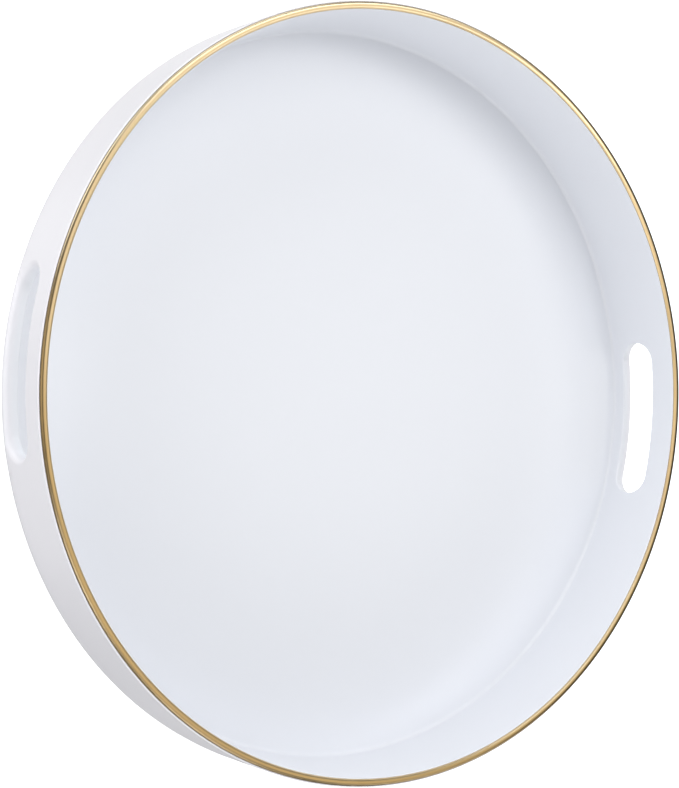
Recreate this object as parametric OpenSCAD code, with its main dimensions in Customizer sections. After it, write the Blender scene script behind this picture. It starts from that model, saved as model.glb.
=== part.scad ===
// Round dresser vanity tray: a shallow one-piece white tray with a flat floor and an upright wall,
// two long rounded handle slots through the wall, a gold bead round its top edge and four
// rubber pads pressed into its base. The origin is on the resting surface under the tray's centre,
// +Z is up, and the handle slots face +X and -X.

/* [Tray body] */
// Outside diameter of the wall
tray_d = 330; // [290:5:400]
// Height from the resting surface to the top of the gold rim
tray_h = 42.5; // [40:0.5:55]
// Thickness of the floor over the base ring
floor_t = 2.6; // [2.2:0.1:4]
// Thickness of the wall at floor level
wall_foot_t = 6.2; // [5:0.1:7]
// Thickness of the wall at the top, under the gold rim
wall_top_t = 4.0; // [3.8:0.1:4.8]
// Radius of the rounded outer corner round the base
base_corner_r = 8; // [3:0.5:10]
// Radius of the fillet between the floor and the wall
floor_fillet_r = 1.6; // [1:0.1:3.5]
// Radius that softens the two edges of the wall's top
wall_edge_r = 0.5; // [0.2:0.05:0.6]

/* [Underside] */
// Diameter of the shallow recess that keeps the middle of the base off the surface
base_recess_d = 236; // [180:2:240]
// Depth of that recess
base_recess_depth = 0.6; // [0.3:0.1:1]

/* [Handle slots] */
// Length of a slot along the wall, from end to end
slot_len = 74.5; // [50:0.5:95]
// Height of a slot
slot_h = 18; // [12:0.5:19]
// Height of a slot's centre line above the resting surface
slot_z = 19; // [18.5:0.1:21]
// Radius of the soft edge round a slot on the outside of the wall
slot_outer_r = 2.4; // [1:0.1:2.6]
// Radius of the edge round a slot on the inside of the wall
slot_inner_r = 0.9; // [0.4:0.1:1.2]

/* [Gold rim] */
// Width of the half-round gold bead
rim_w = 2.9; // [2.2:0.1:3]
// White shoulder left between the bead and the outside of the wall
rim_inset = 0.7; // [0.55:0.05:0.8]
// Width of the tongue that seats the bead in the wall
rim_tongue_w = 1.2; // [0.8:0.1:1.4]
// Depth of the tongue
rim_tongue_h = 1.6; // [1:0.1:2]

/* [Feet] */
// Diameter of a rubber pad
foot_d = 14; // [8:1:20]
// How far a pad stands out of the base
foot_stand = 1.0; // [0.6:0.1:1.5]
// Depth of the seat a pad is pressed into
foot_seat = 0.8; // [0.5:0.1:1]
// Radius that softens a pad's lower edge
foot_edge_r = 0.6; // [0.3:0.1:0.6]
// Diameter of the circle the pads' centres lie on
foot_ring_d = 280; // [266:2:290]

/* [Hidden] */

big_fn = 240;
small_fn = 32;
bead_flats = 12;

tray_r = tray_d / 2;
rim_r = rim_w / 2;
rim_mid_r = tray_r - rim_inset - rim_r;
wall_top_z = tray_h - rim_r;
floor_z = foot_stand + floor_t;
wall_foot_in_r = tray_r - wall_foot_t;
wall_top_in_r = tray_r - wall_top_t;
foot_recess_top = foot_stand + foot_seat;

// Lean of the wall's inner face from the vertical, and where the floor fillet touches it
lean = atan2(wall_top_in_r - wall_foot_in_r, wall_top_z - floor_z);
fillet_c = [
    wall_foot_in_r - floor_fillet_r * (1 - sin(lean)) / cos(lean),
    floor_z + floor_fillet_r
];
fillet_touch = fillet_c + floor_fillet_r * [cos(lean), -sin(lean)];

// How far a slot's edge round stands past the face, so that it meets the face at a clear angle
edge_rise = 0.1;

// Gap all round the bead's tongue in its groove, and how far cutters run past what they cut
tongue_gap = 0.05;
overrun = 4;

// Angle from a slot's middle to the centre of each of its rounded ends
slot_in_r = wall_foot_in_r + (slot_z - floor_z) * tan(lean);
slot_end_angle = asin((slot_len - slot_h) / 2 / tray_r);
slot_sides = [0, 180];

// Angle by which the two halves of a slot's cutter overlap at its middle
middle_overlap = 1;

// Each foot's angle round the tray, counted from the right-hand slot
foot_angle_back_right = 45;
foot_step = 90;

// A filled rectangle from the axis out to r, between two heights, with its outer corners rounded
module round_disc_section(r, z_low, z_high, low_r, high_r) {
    translate([0, z_low]) square([r - low_r, z_high - z_low]);
    translate([0, z_low + low_r]) square([r, z_high - z_low - low_r - high_r]);
    translate([0, z_high - high_r]) square([r - high_r, high_r]);
    translate([r - low_r, z_low + low_r]) circle(low_r, $fn = small_fn);
    translate([r - high_r, z_high - high_r]) circle(high_r, $fn = small_fn);
}

// The hollow above the floor, with the fillet at its foot and the leaning inner face of the wall
module hollow_section() {
    polygon([
        [0, floor_z],
        [fillet_c[0], floor_z],
        fillet_touch,
        [wall_top_in_r, wall_top_z],
        [wall_top_in_r, wall_top_z + overrun],
        [0, wall_top_z + overrun]
    ]);
    translate(fillet_c) circle(floor_fillet_r, $fn = 2 * small_fn);
}

// Takes the sharp inner edge off the wall's top
module inner_edge_section() {
    difference() {
        translate([wall_top_in_r - overrun, wall_top_z - wall_edge_r])
            square([overrun + wall_edge_r, wall_edge_r + overrun]);
        translate([wall_top_in_r + wall_edge_r, wall_top_z - wall_edge_r])
            circle(wall_edge_r, $fn = small_fn);
    }
}

// The groove in the wall's top that the bead's tongue sits in
module groove_section() {
    width = rim_tongue_w + 2 * tongue_gap;
    depth = rim_tongue_h + 2 * tongue_gap;
    translate([rim_mid_r - width / 2, wall_top_z - depth]) square([width, depth + overrun]);
}

module tray_section() {
    difference() {
        round_disc_section(tray_r, foot_stand, wall_top_z, base_corner_r, wall_edge_r);
        hollow_section();
        inner_edge_section();
        groove_section();
        translate([0, foot_stand - overrun])
            square([base_recess_d / 2, overrun + base_recess_depth]);
    }
}

// Where a slot's side meets a face of the wall: everything outside a quarter-round edge
module slot_edge_section(face_r, edge_r) {
    start = face_r - edge_r + edge_rise;
    difference() {
        translate([start, 0]) square([edge_r + overrun, slot_h / 2 + edge_r]);
        translate([start, slot_h / 2 + edge_r]) circle(edge_r, $fn = 2 * small_fn);
    }
}

// Half of a slot's cross-section: x is the distance from the tray's axis, y the height above
// the slot's centre line
module slot_half_section() {
    translate([slot_in_r - overrun, 0])
        square([tray_r - slot_in_r + 2 * overrun, slot_h / 2]);
    slot_edge_section(tray_r, slot_outer_r);
    translate([2 * slot_in_r, 0]) mirror([1, 0]) slot_edge_section(slot_in_r, slot_inner_r);
}

// Half of a slot: it follows the wall's curve from just past the slot's middle to its rounded
// end, which is half a turn about a radius of the tray
module slot_half_cutter() {
    rotate([0, 0, slot_end_angle]) {
        rotate_extrude(angle = -slot_end_angle - middle_overlap, $fn = big_fn) {
            slot_half_section();
            mirror([0, 1]) slot_half_section();
        }
        rotate([0, 90, 0])
            rotate_extrude(angle = 180, $fn = 2 * small_fn)
                mirror([1, -1]) slot_half_section();
    }
}

module slot_cutter() {
    translate([0, 0, slot_z])
        for (side = [0, 1])
            mirror([0, side, 0]) slot_half_cutter();
}

module foot_places() {
    for (i = [0 : 3])
        foot_place(i) children();
}

module foot_place(i) {
    rotate([0, 0, foot_angle_back_right + i * foot_step])
        translate([foot_ring_d / 2, 0, 0])
            children();
}

module tray_body() {
    color([0.94, 0.94, 0.95])
        difference() {
            rotate_extrude($fn = big_fn) tray_section();
            for (a = slot_sides)
                rotate([0, 0, a]) slot_cutter();
            foot_places()
                translate([0, 0, foot_stand - overrun])
                    cylinder(h = overrun + foot_seat, d = foot_d, $fn = 2 * small_fn);
        }
}

// Half-round bead on a thin tongue. The bead is drawn in narrow flats, so that its volume is the
// same however finely the ring is turned
module gold_rim() {
    color([0.86, 0.70, 0.40])
        rotate_extrude($fn = big_fn) {
            polygon([
                for (i = [0 : bead_flats])
                    [rim_mid_r, wall_top_z]
                        + rim_r * [cos(180 * i / bead_flats), sin(180 * i / bead_flats)]
            ]);
            translate([rim_mid_r - rim_tongue_w / 2, wall_top_z - rim_tongue_h])
                square([rim_tongue_w, rim_tongue_h + rim_r / 2]);
        }
}

// Round rubber pad with a softened lower edge, pressed up into its seat
module foot(i) {
    color([0.30, 0.30, 0.31])
        foot_place(i)
            rotate_extrude($fn = 2 * small_fn)
                round_disc_section(foot_d / 2, 0, foot_recess_top, foot_edge_r, 0.2);
}

tray_body();
gold_rim();
foot(0);  // foot_back_right
foot(1);  // foot_back_left
foot(2);  // foot_front_left
foot(3);  // foot_front_right
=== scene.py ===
"""Looks for the round dresser vanity tray: white moulding, gold bead and rubber pads."""

import math

import bmesh
import bpy
from mathutils import Matrix, Vector


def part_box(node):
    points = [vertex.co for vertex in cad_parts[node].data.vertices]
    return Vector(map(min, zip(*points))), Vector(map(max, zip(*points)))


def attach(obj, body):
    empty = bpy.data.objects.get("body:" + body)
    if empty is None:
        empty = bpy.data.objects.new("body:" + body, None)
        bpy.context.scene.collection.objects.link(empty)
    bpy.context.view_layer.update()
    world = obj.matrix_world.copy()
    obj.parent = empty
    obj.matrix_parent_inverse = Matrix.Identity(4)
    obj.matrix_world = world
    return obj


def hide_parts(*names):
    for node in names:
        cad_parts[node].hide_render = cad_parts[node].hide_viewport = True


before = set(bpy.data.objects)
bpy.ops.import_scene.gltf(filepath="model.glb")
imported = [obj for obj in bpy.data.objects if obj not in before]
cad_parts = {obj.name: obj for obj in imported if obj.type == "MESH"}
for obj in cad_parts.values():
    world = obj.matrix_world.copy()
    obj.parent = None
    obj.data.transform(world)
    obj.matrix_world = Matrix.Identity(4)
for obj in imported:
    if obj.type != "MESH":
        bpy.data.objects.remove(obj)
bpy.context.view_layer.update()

MM = 0.001

# ---------------------------------------------------------------- sizes

# The outer sizes come from the frame, so the visual pieces fill the same space as the CAD's
body_low, body_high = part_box("tray_body")
_, rim_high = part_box("gold_rim")
TRAY_R = body_high[0]
BASE_Z = body_low[2]
WALL_TOP_Z = body_high[2]
RIM_OUT_R = rim_high[0]
BEAD_R = rim_high[2] - WALL_TOP_Z
BEAD_MID_R = RIM_OUT_R - BEAD_R

# Shape of the moulding
FLOOR_Z = BASE_Z + 2.6 * MM
WALL_FOOT_IN_R = TRAY_R - 6.2 * MM
WALL_TOP_IN_R = TRAY_R - 4.0 * MM
BASE_CORNER_R = 8 * MM
FLOOR_FILLET_R = 1.6 * MM
WALL_EDGE_R = 0.5 * MM
BASE_RECESS_R = 118 * MM
BASE_RECESS_DEPTH = 0.6 * MM
BASE_RECESS_EDGE = 0.5 * MM

# Handle slots
SLOT_LEN = 74.5 * MM
SLOT_H = 18 * MM
SLOT_Z = 19 * MM
SLOT_OUTER_R = 2.4 * MM
SLOT_INNER_R = 0.9 * MM

# Hairline seam round the foot of the gold bead
SEAM_W = 0.12 * MM
SEAM_DEPTH = 0.25 * MM

# How finely the meshes are turned, and where the flat faces get a ring of their own
COLUMNS = 480
EDGE_STEPS = 8
CORNER_STEPS = 12
BEAD_STEPS = 24
BASE_RINGS = (0.25, 0.5, 0.75, 0.97)
FLOOR_RINGS = (0.97, 0.85, 0.6, 0.35, 0.12)
ON_AXIS_R = 1e-7
WELD_DISTANCE = 1e-7

# The patch of wall round a slot, which has a mesh of its own
WALL_ROWS = 12
PATCH_HALF_COLUMNS = 22
PATCH_HALF_H = 14 * MM
PATCH_HIGH_Z = SLOT_Z + PATCH_HALF_H
OUTER_PATCH_LOW_Z = SLOT_Z - PATCH_HALF_H
INNER_PATCH_LOW_Z = FLOOR_Z + FLOOR_FILLET_R + 0.4 * MM
PATCH_RINGS = 4

WALL_LEAN = math.atan2(WALL_TOP_IN_R - WALL_FOOT_IN_R, WALL_TOP_Z - FLOOR_Z)
SLOT_END_ANGLE = math.asin((SLOT_LEN - SLOT_H) / 2 / TRAY_R)


def inner_wall_r(z):
    return WALL_FOOT_IN_R + (z - FLOOR_Z) * math.tan(WALL_LEAN)


def outer_wall_r(z):
    below = max(BASE_Z + BASE_CORNER_R - z, 0.0)
    return TRAY_R - BASE_CORNER_R + math.sqrt(BASE_CORNER_R**2 - below**2)


# ---------------------------------------------------------------- mesh helpers


def arc(centre, radius, start_deg, end_deg, steps=EDGE_STEPS):
    """Points (r, z) along an arc, both ends included."""
    points = []
    for i in range(steps + 1):
        a = math.radians(start_deg + (end_deg - start_deg) * i / steps)
        points.append((centre[0] + radius * math.cos(a), centre[1] + radius * math.sin(a)))
    return points


def on_circle(r, angle, z):
    return Vector((r * math.cos(angle), r * math.sin(angle), z))


def finish_mesh(name, bm, material, slot, *nodes):
    """Turns the bmesh into a smooth piece that stands for CAD nodes and rides on the tray."""
    bmesh.ops.recalc_face_normals(bm, faces=bm.faces)
    for face in bm.faces:
        face.smooth = True
    mesh = bpy.data.meshes.new(name)
    bm.to_mesh(mesh)
    bm.free()
    mesh.materials.append(material)
    piece = bpy.data.objects.new(name, mesh)
    bpy.context.scene.collection.objects.link(piece)
    weighted = piece.modifiers.new("even_normals", "WEIGHTED_NORMAL")
    weighted.mode = "FACE_AREA"
    weighted.weight = 60
    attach(piece, "root")
    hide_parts(*nodes)
    return piece


def turned(bm, section, columns, skip=None, centre=(0.0, 0.0)):
    """Turns an outline of (r, z) points about the vertical through centre. Points on the axis
    become one vertex. skip(row, column) leaves a face out. Returns the grid of vertices."""
    shift = Vector((centre[0], centre[1], 0.0))
    grid = []
    for r, z in section:
        if r < ON_AXIS_R:
            pole = bm.verts.new(Vector((0.0, 0.0, z)) + shift)
            grid.append([pole] * columns)
            continue
        grid.append(
            [
                bm.verts.new(on_circle(r, 2 * math.pi * j / columns, z) + shift)
                for j in range(columns)
            ]
        )
    for i in range(len(section) - 1):
        for j in range(columns):
            if skip and skip(i, j):
                continue
            k = (j + 1) % columns
            corners = [grid[i][j], grid[i][k], grid[i + 1][k], grid[i + 1][j]]
            unique = [v for n, v in enumerate(corners) if v not in corners[:n]]
            bm.faces.new(unique)
    return grid


# ---------------------------------------------------------------- tray body


def patch_rows(low):
    return [low + (PATCH_HIGH_Z - low) * i / WALL_ROWS for i in range(WALL_ROWS + 1)]


def body_section():
    """The moulding's outline, from under the middle round to the floor's middle, with the rows
    that bound the slots' patches on the outer and the inner face of the wall."""
    points = [(0.0, BASE_Z + BASE_RECESS_DEPTH)]
    for share in BASE_RINGS:
        points.append((BASE_RECESS_R * share, BASE_Z + BASE_RECESS_DEPTH))
    edge = BASE_RECESS_EDGE
    points += [
        (BASE_RECESS_R - edge, BASE_Z + BASE_RECESS_DEPTH),
        (BASE_RECESS_R - 0.3 * edge, BASE_Z + 0.8 * BASE_RECESS_DEPTH),
        (BASE_RECESS_R + 0.3 * edge, BASE_Z + 0.2 * BASE_RECESS_DEPTH),
        (BASE_RECESS_R + edge, BASE_Z),
        ((BASE_RECESS_R + TRAY_R) / 2, BASE_Z),
    ]
    patch_starts = math.degrees(
        math.asin((OUTER_PATCH_LOW_Z - BASE_Z - BASE_CORNER_R) / BASE_CORNER_R)
    )
    corner_mid = (TRAY_R - BASE_CORNER_R, BASE_Z + BASE_CORNER_R)
    points += arc(corner_mid, BASE_CORNER_R, -90, patch_starts, CORNER_STEPS)[:-1]

    outer_first = len(points)
    points += [(outer_wall_r(z), z) for z in patch_rows(OUTER_PATCH_LOW_Z)]

    points += arc((TRAY_R - WALL_EDGE_R, WALL_TOP_Z - WALL_EDGE_R), WALL_EDGE_R, 0, 90)
    for side in (1, -1):
        foot = BEAD_MID_R + side * BEAD_R
        seam = [
            (foot + side * SEAM_W, WALL_TOP_Z),
            (foot + side * 0.4 * SEAM_W, WALL_TOP_Z - SEAM_DEPTH),
            (foot - side * 2 * SEAM_W, WALL_TOP_Z - SEAM_DEPTH),
        ]
        points += seam if side == 1 else seam[::-1]
    points += arc((WALL_TOP_IN_R + WALL_EDGE_R, WALL_TOP_Z - WALL_EDGE_R), WALL_EDGE_R, 90, 180)

    inner_first = len(points)
    points += [(inner_wall_r(z), z) for z in reversed(patch_rows(INNER_PATCH_LOW_Z))]
    fillet_mid = (
        WALL_FOOT_IN_R - FLOOR_FILLET_R * (1 - math.sin(WALL_LEAN)) / math.cos(WALL_LEAN),
        FLOOR_Z + FLOOR_FILLET_R,
    )
    points += arc(fillet_mid, FLOOR_FILLET_R, -math.degrees(WALL_LEAN), -90, CORNER_STEPS)
    for share in FLOOR_RINGS:
        points.append((fillet_mid[0] * share, FLOOR_Z))
    points.append((0.0, FLOOR_Z))
    return points, outer_first, inner_first


def patch_boundary(grid, first_row, centre_column, low_first):
    """The ring of grid vertices round a slot's patch, anticlockwise from the lower left corner,
    each with its angle from the slot's middle and its height."""
    step = 2 * math.pi / COLUMNS
    rows = [first_row + i for i in range(WALL_ROWS + 1)]
    if not low_first:
        rows.reverse()
    half = PATCH_HALF_COLUMNS
    ring = [(rows[0], c) for c in range(-half, half)]
    ring += [(r, half) for r in rows[:-1]]
    ring += [(rows[-1], c) for c in range(half, -half, -1)]
    ring += [(r, -half) for r in rows[:0:-1]]
    return [
        (grid[r][(centre_column + c) % COLUMNS], c * step, grid[r][0].co.z) for r, c in ring
    ]


def slot_targets(boundary):
    """For each boundary vertex, the point of the slot's edge that it leads to: the angle of the
    arc's centre from the slot's middle, and the direction out of that centre."""
    count = len(boundary)
    targets = [None] * count
    for side in (1, -1):
        around = [n for n in range(count) if boundary[n][1] * side > SLOT_END_ANGLE]
        around.sort(
            key=lambda n: math.atan2(
                boundary[n][2] - SLOT_Z, (abs(boundary[n][1]) - SLOT_END_ANGLE) * TRAY_R
            )
        )
        for k, n in enumerate(around):
            turn = math.pi * ((k + 0.5) / len(around) - 0.5)
            targets[n] = (side * SLOT_END_ANGLE, side * math.cos(turn), math.sin(turn))
    for n, (_, angle, z) in enumerate(boundary):
        if targets[n] is None:
            targets[n] = (angle, 0.0, 1.0 if z > SLOT_Z else -1.0)
    return targets


def slot_point(target, offset, surface_r, middle):
    """A point round the slot, offset outwards from its clear opening, on a face whose radius at
    height z is surface_r(z)."""
    angle, across, up = target
    reach = SLOT_H / 2 + offset
    z = SLOT_Z + up * reach
    tangent = across * reach
    along = math.sqrt(surface_r(z) ** 2 - tangent**2)
    return on_circle(along, middle + angle, z) + on_circle(tangent, middle + angle + math.pi / 2, 0)


def face_rings(boundary, targets, flare, surface_r, middle):
    """Rings on a face of the wall, from its patch's boundary in to the flare's edge."""
    rings = []
    for i in range(1, PATCH_RINGS + 1):
        share = math.sin(math.pi / 2 * i / PATCH_RINGS)
        ring = []
        for (vertex, angle, z), target in zip(boundary, targets):
            edge = slot_point(target, flare, surface_r, middle)
            from_middle = math.atan2(edge.y, edge.x) - middle
            edge_angle = math.atan2(math.sin(from_middle), math.cos(from_middle))
            here = angle + (edge_angle - angle) * share
            height = z + (edge.z - z) * share
            ring.append(on_circle(surface_r(height), middle + here, height))
        rings.append(ring)
    return rings


def flare_rings(targets, radius, surface_r, into, middle):
    """Rings round the quarter-round edge, from the face in to the slot's side. into is -1 on the
    outer face and 1 on the inner one."""
    rings = []
    for i in range(1, EDGE_STEPS + 1):
        turn = math.pi / 2 * i / EDGE_STEPS
        offset = radius * (1 - math.sin(turn))
        depth = radius * (1 - math.cos(turn))
        rings.append(
            [
                slot_point(t, offset, lambda z: surface_r(z) + into * depth, middle)
                for t in targets
            ]
        )
    return rings


def add_slot(bm, grid, outer_first, inner_first, centre_column):
    """Fills both patches and lines the slot between them, with rounded edges on each face."""
    middle = 2 * math.pi * centre_column / COLUMNS
    outer = patch_boundary(grid, outer_first, centre_column, True)
    inner = patch_boundary(grid, inner_first, centre_column, False)
    targets = slot_targets(outer)

    rings = face_rings(outer, targets, SLOT_OUTER_R, outer_wall_r, middle)
    rings += flare_rings(targets, SLOT_OUTER_R, outer_wall_r, -1, middle)
    back = face_rings(inner, targets, SLOT_INNER_R, inner_wall_r, middle)
    back += flare_rings(targets, SLOT_INNER_R, inner_wall_r, 1, middle)
    rings += reversed(back)

    loops = [[v for v, _, _ in outer]]
    loops += [[bm.verts.new(p) for p in ring] for ring in rings]
    loops.append([v for v, _, _ in inner])
    count = len(outer)
    for a, b in zip(loops, loops[1:]):
        for n in range(count):
            m = (n + 1) % count
            bm.faces.new((a[n], a[m], b[m], b[n]))


def build_tray_body(material):
    section, outer_first, inner_first = body_section()

    def in_patch(row, column):
        for first in (outer_first, inner_first):
            if first <= row < first + WALL_ROWS:
                for centre in (0, COLUMNS // 2):
                    from_middle = (column - centre + COLUMNS // 2) % COLUMNS - COLUMNS // 2
                    if -PATCH_HALF_COLUMNS <= from_middle < PATCH_HALF_COLUMNS:
                        return True
        return False

    bm = bmesh.new()
    grid = turned(bm, section, COLUMNS, in_patch)
    for centre in (0, COLUMNS // 2):
        add_slot(bm, grid, outer_first, inner_first, centre)
    loose = [v for v in bm.verts if not v.link_faces]
    bmesh.ops.delete(bm, geom=loose, context="VERTS")
    return finish_mesh("moulded_tray", bm, material, "body_white", "tray_body")


# ---------------------------------------------------------------- gold rim


def build_gold_rim(material):
    """The bead is a little over half round, so that a fine seam shows where it meets the wall."""
    middle = (BEAD_MID_R, WALL_TOP_Z)
    section = [(BEAD_MID_R + BEAD_R, WALL_TOP_Z - SEAM_DEPTH)]
    section += arc(middle, BEAD_R, 0, 180, BEAD_STEPS)
    section += [(BEAD_MID_R - BEAD_R, WALL_TOP_Z - SEAM_DEPTH)]
    section.append(section[0])
    bm = bmesh.new()
    turned(bm, section, COLUMNS)
    bmesh.ops.remove_doubles(bm, verts=bm.verts, dist=WELD_DISTANCE)
    return finish_mesh("gold_bead", bm, material, "rim_gold", "gold_rim")


# ---------------------------------------------------------------- rubber pads

PAD_EDGE_R = 0.6 * MM
PAD_GROOVE_DEPTH = 0.18 * MM
PAD_GROOVE_HALF_W = 0.35 * MM
PAD_GROOVES = 3
PAD_COLUMNS = 72


def build_pad(node, material):
    """A round pad with a softened edge and fine rings moulded in the face it stands on."""
    low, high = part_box(node)
    centre = ((low[0] + high[0]) / 2, (low[1] + high[1]) / 2)
    radius = (high[0] - low[0]) / 2
    face_r = radius - PAD_EDGE_R
    section = [(0.0, low[2])]
    for i in range(PAD_GROOVES):
        groove = face_r * (i + 1) / (PAD_GROOVES + 0.6)
        section += [
            (groove - PAD_GROOVE_HALF_W, low[2]),
            (groove - 0.5 * PAD_GROOVE_HALF_W, low[2] + PAD_GROOVE_DEPTH),
            (groove + 0.5 * PAD_GROOVE_HALF_W, low[2] + PAD_GROOVE_DEPTH),
            (groove + PAD_GROOVE_HALF_W, low[2]),
        ]
    section += arc((face_r, low[2] + PAD_EDGE_R), PAD_EDGE_R, -90, 0)
    section += [(radius, high[2]), (0.0, high[2])]
    bm = bmesh.new()
    turned(bm, section, PAD_COLUMNS, centre=centre)
    return finish_mesh(node + "_pad", bm, material, "foot_rubber", node)


# ---------------------------------------------------------------- materials

# The range that most of a noise texture's values lie in
NOISE_LOW = 0.3
NOISE_HIGH = 0.7


def new_material(name):
    material = bpy.data.materials.new(name)
    material.use_nodes = True
    nodes = material.node_tree.nodes
    links = material.node_tree.links
    return material, nodes, links, nodes["Principled BSDF"]


def noise(nodes, links, vector, scale, detail=2.0, roughness=0.5):
    node = nodes.new("ShaderNodeTexNoise")
    node.inputs["Scale"].default_value = scale
    node.inputs["Detail"].default_value = detail
    node.inputs["Roughness"].default_value = roughness
    links.new(vector, node.inputs["Vector"])
    return node.outputs["Fac"]


def remap(nodes, links, value, low, high, from_low=NOISE_LOW, from_high=NOISE_HIGH):
    node = nodes.new("ShaderNodeMapRange")
    node.inputs["From Min"].default_value = from_low
    node.inputs["From Max"].default_value = from_high
    node.inputs["To Min"].default_value = low
    node.inputs["To Max"].default_value = high
    links.new(value, node.inputs["Value"])
    return node.outputs["Result"]


def blend_colours(nodes, links, value, first, second):
    node = nodes.new("ShaderNodeValToRGB")
    node.color_ramp.elements[0].position = NOISE_LOW
    node.color_ramp.elements[0].color = (*first, 1.0)
    node.color_ramp.elements[1].position = NOISE_HIGH
    node.color_ramp.elements[1].color = (*second, 1.0)
    links.new(value, node.inputs["Fac"])
    return node.outputs["Color"]


def bump(nodes, links, height, distance, strength=1.0, normal=None):
    node = nodes.new("ShaderNodeBump")
    node.inputs["Distance"].default_value = distance
    node.inputs["Strength"].default_value = strength
    links.new(height, node.inputs["Height"])
    if normal:
        links.new(normal, node.inputs["Normal"])
    return node.outputs["Normal"]


def object_vector(nodes):
    return nodes.new("ShaderNodeTexCoord").outputs["Object"]


def mix_colours(nodes, links, value, first, second):
    node = nodes.new("ShaderNodeMix")
    node.data_type = "RGBA"
    links.new(value, node.inputs["Factor"])
    links.new(first, node.inputs["A"])
    links.new(second, node.inputs["B"])
    return node.outputs["Result"]


def white_plastic():
    """Satin white moulding: faint unevenness of tone, a fine orange peel and a slow ripple. The
    inside is tinted a touch cooler than the outside. That cooler tint is painted shade for the
    shaded hollow of the tray, not a second colour of plastic. The gloss keeps to a narrow band,
    so that it stays even over the broad flat floor."""
    material, nodes, links, shader = new_material("white_moulded_plastic")
    place = object_vector(nodes)
    tone = noise(nodes, links, place, 5.0, 1.0)
    # The cooler, bluer inside colour is painted shade tint. The outside colour is the plastic's
    # plain tone.
    inside = blend_colours(nodes, links, tone, (0.791, 0.810, 0.856), (0.801, 0.820, 0.866))
    outside = blend_colours(nodes, links, tone, (0.815, 0.810, 0.850), (0.825, 0.820, 0.860))
    _, distance, _ = ring_parts(nodes, links, place)
    # outward blends from the painted shade tint inside to the plain colour outside, by distance
    # from the axis.
    outward = remap(nodes, links, distance, 0.0, 1.0, WALL_TOP_IN_R, TRAY_R - 0.5 * MM)
    links.new(mix_colours(nodes, links, outward, inside, outside), shader.inputs["Base Color"])
    links.new(
        remap(nodes, links, noise(nodes, links, place, 30.0, 2.0), 0.277, 0.304),
        shader.inputs["Roughness"],
    )
    ripple = bump(nodes, links, noise(nodes, links, place, 14.0, 0.0), 0.00010, 0.5)
    peel = bump(nodes, links, noise(nodes, links, place, 900.0, 2.0), 0.000008, 0.5, ripple)
    links.new(peel, shader.inputs["Normal"])
    shader.inputs["IOR"].default_value = 1.49
    shader.inputs["Specular IOR Level"].default_value = 0.45
    shader.inputs["Coat Weight"].default_value = 0.15
    shader.inputs["Coat Roughness"].default_value = 0.16
    return material


def ring_parts(nodes, links, place):
    """The angle round the tray, the distance from its axis and the height of a place."""
    split = nodes.new("ShaderNodeSeparateXYZ")
    links.new(place, split.inputs["Vector"])
    angle = nodes.new("ShaderNodeMath")
    angle.operation = "ARCTAN2"
    links.new(split.outputs["Y"], angle.inputs[0])
    links.new(split.outputs["X"], angle.inputs[1])
    flat = nodes.new("ShaderNodeVectorMath")
    flat.operation = "MULTIPLY"
    flat.inputs[1].default_value = (1.0, 1.0, 0.0)
    links.new(place, flat.inputs[0])
    distance = nodes.new("ShaderNodeVectorMath")
    distance.operation = "LENGTH"
    links.new(flat.outputs["Vector"], distance.inputs[0])
    return angle.outputs["Value"], distance.outputs["Value"], split.outputs["Z"]


def ring_vector(nodes, links, place, along):
    """Coordinates that follow the ring: slow round it by the factor along, quick across it."""
    angle, distance, height = ring_parts(nodes, links, place)
    slow = nodes.new("ShaderNodeMath")
    slow.operation = "MULTIPLY"
    slow.inputs[1].default_value = along
    links.new(angle, slow.inputs[0])
    join = nodes.new("ShaderNodeCombineXYZ")
    links.new(slow.outputs["Value"], join.inputs["X"])
    links.new(distance, join.inputs["Y"])
    links.new(height, join.inputs["Z"])
    return join.outputs["Vector"]


def satin_gold():
    """Plated bead: warm gold with drifting tone and hair-fine lines that run round the ring. Where
    it meets the wall the colour turns dark brown, which is painted shade in the crease."""
    material, nodes, links, shader = new_material("satin_gold")
    place = object_vector(nodes)
    streaks = noise(nodes, links, ring_vector(nodes, links, place, 0.02), 2600.0, 3.0)
    drift = noise(nodes, links, place, 26.0, 3.0)
    gold_tone = blend_colours(nodes, links, drift, (0.79, 0.59, 0.32), (0.83, 0.63, 0.35))
    # Painted shade: the bead's foot, down in the crease against the wall, is coloured dark brown.
    crease_painted_shade = blend_colours(nodes, links, drift, (0.10, 0.06, 0.03), (0.14, 0.085, 0.045))
    _, _, height = ring_parts(nodes, links, place)
    # The mask up runs from the painted crease shade at the bead's foot to the plain gold just above
    # it.
    up = remap(
        nodes, links, height, 0.0, 1.0, WALL_TOP_Z + 0.02 * MM, WALL_TOP_Z + 0.24 * MM
    )
    links.new(mix_colours(nodes, links, up, crease_painted_shade, gold_tone), shader.inputs["Base Color"])
    links.new(remap(nodes, links, streaks, 0.29, 0.36), shader.inputs["Roughness"])
    fine = bump(nodes, links, streaks, 0.00001, 0.5)
    links.new(bump(nodes, links, drift, 0.0002, 0.4, fine), shader.inputs["Normal"])
    shader.inputs["Metallic"].default_value = 1.0
    return material


def grey_rubber():
    """Soft pads: dark grey with a fine pebbled grain and a little dust on it."""
    material, nodes, links, shader = new_material("grey_rubber")
    place = object_vector(nodes)
    dust = noise(nodes, links, place, 260.0, 4.0, 0.6)
    links.new(
        blend_colours(nodes, links, dust, (0.020, 0.020, 0.022), (0.045, 0.045, 0.047)),
        shader.inputs["Base Color"],
    )
    links.new(remap(nodes, links, dust, 0.62, 0.8), shader.inputs["Roughness"])
    grain = noise(nodes, links, place, 2400.0, 2.0)
    links.new(bump(nodes, links, grain, 0.00004, 0.8), shader.inputs["Normal"])
    return material


# ---------------------------------------------------------------- floor, light and camera

FLOOR_R = 6.0
FLOOR_GLOW = 0.93

# Keeps the floor a hair under the pads, so that their faces don't coincide
FLOOR_GAP = 0.05 * MM


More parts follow.
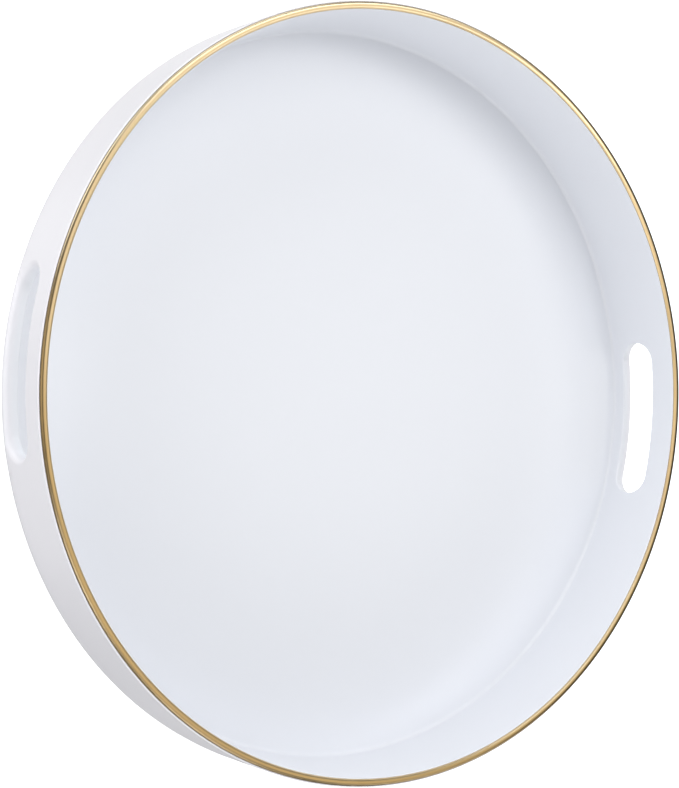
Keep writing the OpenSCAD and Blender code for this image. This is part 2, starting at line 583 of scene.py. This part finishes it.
def build_floor():
    """A wide pale floor, bright as a lit studio sweep. It sends no light back up at the tray."""
    bm = bmesh.new()
    bmesh.ops.create_circle(bm, cap_ends=True, segments=128, radius=FLOOR_R)
    mesh = bpy.data.meshes.new("floor")
    bm.to_mesh(mesh)
    bm.free()
    material, nodes, links, shader = new_material("pale_floor")
    tone = noise(nodes, links, object_vector(nodes), 3.0)
    links.new(
        blend_colours(nodes, links, tone, (0.55, 0.55, 0.55), (0.56, 0.56, 0.56)),
        shader.inputs["Base Color"],
    )
    shader.inputs["Roughness"].default_value = 0.9
    shader.inputs["Emission Color"].default_value = (1.0, 1.0, 1.0, 1.0)
    shader.inputs["Emission Strength"].default_value = FLOOR_GLOW
    mesh.materials.append(material)
    floor = bpy.data.objects.new("floor", mesh)
    floor.visible_diffuse = False
    floor.visible_glossy = False
    floor.visible_shadow = False
    floor.location.z = -FLOOR_GAP
    bpy.context.scene.collection.objects.link(floor)
    return floor


def pale_world():
    """A white surround for the camera; the lamps do all the lighting."""
    world = bpy.data.worlds.new("studio")
    world.use_nodes = True
    background = world.node_tree.nodes["Background"]
    background.inputs["Color"].default_value = (1.0, 1.0, 1.0, 1.0)
    background.inputs["Strength"].default_value = 1.0
    world.cycles_visibility.diffuse = False
    world.cycles_visibility.glossy = False
    bpy.context.scene.world = world


# Only its direction matters to a far lamp; this is where its object is put
LAMP_DISTANCE = 2.0


def light_set(name, pieces):
    """The pieces that a group of lamps shines on."""
    collection = bpy.data.collections.new(name)
    for piece in pieces:
        collection.objects.link(piece)
    return collection


def soft_lamp(name, azimuth, elevation, spread, strength, lit, colour=(1.0, 1.0, 1.0)):
    """A far-off round soft light, spread degrees across, seen from the tray at this azimuth from
    +X and this elevation. It shines only on the set lit."""
    light = bpy.data.lights.new(name, "SUN")
    light.angle = math.radians(spread)
    light.energy = strength
    light.color = colour
    lamp = bpy.data.objects.new(name, light)
    a, e = math.radians(azimuth), math.radians(elevation)
    away = Vector((math.cos(e) * math.cos(a), math.cos(e) * math.sin(a), math.sin(e)))
    lamp.location = away * LAMP_DISTANCE
    lamp.rotation_euler = away.to_track_quat("Z", "Y").to_euler()
    lamp.light_linking.receiver_collection = lit
    bpy.context.scene.collection.objects.link(lamp)


def lamp_ring(name, elevation, spread, count, strength, towards, swing, lit):
    """A ring of soft lights, brighter by the share swing on the side towards that azimuth."""
    for i in range(count):
        azimuth = 360 * i / count
        share = 1 + swing * math.cos(math.radians(azimuth - towards))
        soft_lamp(f"{name}_{i}", azimuth, elevation, spread, strength * share, lit)


def light_the_tray(lit):
    """Rings of light from under to over the tray, an overhead light and keys from the +Y side."""
    lamp_ring("ground", -60, 60, 4, 0.21, 76, 0.95, lit)
    lamp_ring("low", -25, 50, 8, 0.32, -141, 0.13, lit)
    lamp_ring("level", 8, 50, 8, 0.54, -44, 0.26, lit)
    lamp_ring("upper", 35, 50, 8, 0.17, -146, 0.95, lit)
    soft_lamp("overhead", 0, 88, 50, 0.56, lit)
    soft_lamp("key", 70, 64, 40, 0.52, lit)
    soft_lamp("key_left", 95, 60, 36, 0.36, lit)
    soft_lamp("side_key", 20, 52, 28, 0.36, lit)
    soft_lamp("edge", 135, 8, 50, 0.84, lit)


# Tints of the gold's lamps
COOL = (0.88, 1.0, 1.22)
WARM = (1.12, 1.0, 0.76)


def panel_lamp(name, place, width, depth, strength, lit, colour=(1.0, 1.0, 1.0)):
    """A flat soft panel that hangs level at place and shines down on the set lit."""
    light = bpy.data.lights.new(name, "AREA")
    light.shape = "RECTANGLE"
    light.size = width
    light.size_y = depth
    light.energy = strength
    light.color = colour
    lamp = bpy.data.objects.new(name, light)
    lamp.location = place
    lamp.visible_camera = False
    lamp.light_linking.receiver_collection = lit
    bpy.context.scene.collection.objects.link(lamp)


def light_the_gold(lit):
    """Near panels, brightest and coolest over the +Y side, with soft light from low down. None
    hangs beyond +X, so the bead's outer edge turns dark there."""
    panel_lamp("gold_front", (-0.03, -0.14, 0.19), 0.42, 0.28, 0.24, lit, WARM)
    panel_lamp("gold_back", (-0.03, 0.14, 0.19), 0.42, 0.28, 0.38, lit)
    panel_lamp("gold_rear", (-0.03, 0.35, 0.19), 0.42, 0.14, 0.74, lit, COOL)
    panel_lamp("gold_near", (0.035, 0.09, 0.09), 0.16, 0.06, 0.05, lit, COOL)
    for azimuth, strength in ((45, 0.2), (90, 0.6), (135, 0.8)):
        soft_lamp(f"gold_low_{azimuth}", azimuth, -15, 40, strength, lit, COOL)
    for azimuth, strength in ((225, 0.45), (270, 0.40), (315, 0.25)):
        soft_lamp(f"gold_level_{azimuth}", azimuth, 10, 35, strength, lit)
    soft_lamp("gold_side", 180, 10, 35, 0.22, lit, WARM)


# The camera looks down over the slot on the -X side, turned on its side
VIEW_AZIMUTH = -175.95
VIEW_ELEVATION = 55.78
VIEW_DISTANCE = 0.692
VIEW_ROLL = 90.263
VIEW_AIM = Vector((-0.0309, -0.0023, WALL_TOP_Z))
VIEW_FOCAL_PIXELS = 1679
FRAME_HEIGHT_PIXELS = 788
SENSOR = 36.0
CLIP_START = 0.01


def build_camera():
    data = bpy.data.cameras.new("camera")
    data.sensor_width = SENSOR
    data.lens = SENSOR * VIEW_FOCAL_PIXELS / FRAME_HEIGHT_PIXELS
    data.clip_start = CLIP_START
    camera = bpy.data.objects.new("camera", data)
    a, e = math.radians(VIEW_AZIMUTH), math.radians(VIEW_ELEVATION)
    away = Vector((math.cos(e) * math.cos(a), math.cos(e) * math.sin(a), math.sin(e)))
    level = away.to_track_quat("Z", "Y").to_matrix().to_4x4()
    roll = Matrix.Rotation(math.radians(VIEW_ROLL), 4, "Z")
    camera.matrix_world = Matrix.Translation(VIEW_AIM + away * VIEW_DISTANCE) @ level @ roll
    bpy.context.scene.collection.objects.link(camera)
    bpy.context.scene.camera = camera


# ---------------------------------------------------------------- put together

build_camera()
tray = build_tray_body(white_plastic())
gold = build_gold_rim(satin_gold())
rubber = grey_rubber()
pads = [
    build_pad(node, rubber)
    for node in ("foot_back_right", "foot_back_left", "foot_front_left", "foot_front_right")
]
floor = build_floor()
pale_world()
light_the_tray(light_set("lit_white", [tray, floor] + pads))
light_the_gold(light_set("lit_gold", [gold]))

bpy.context.scene.view_settings.view_transform = "Standard"
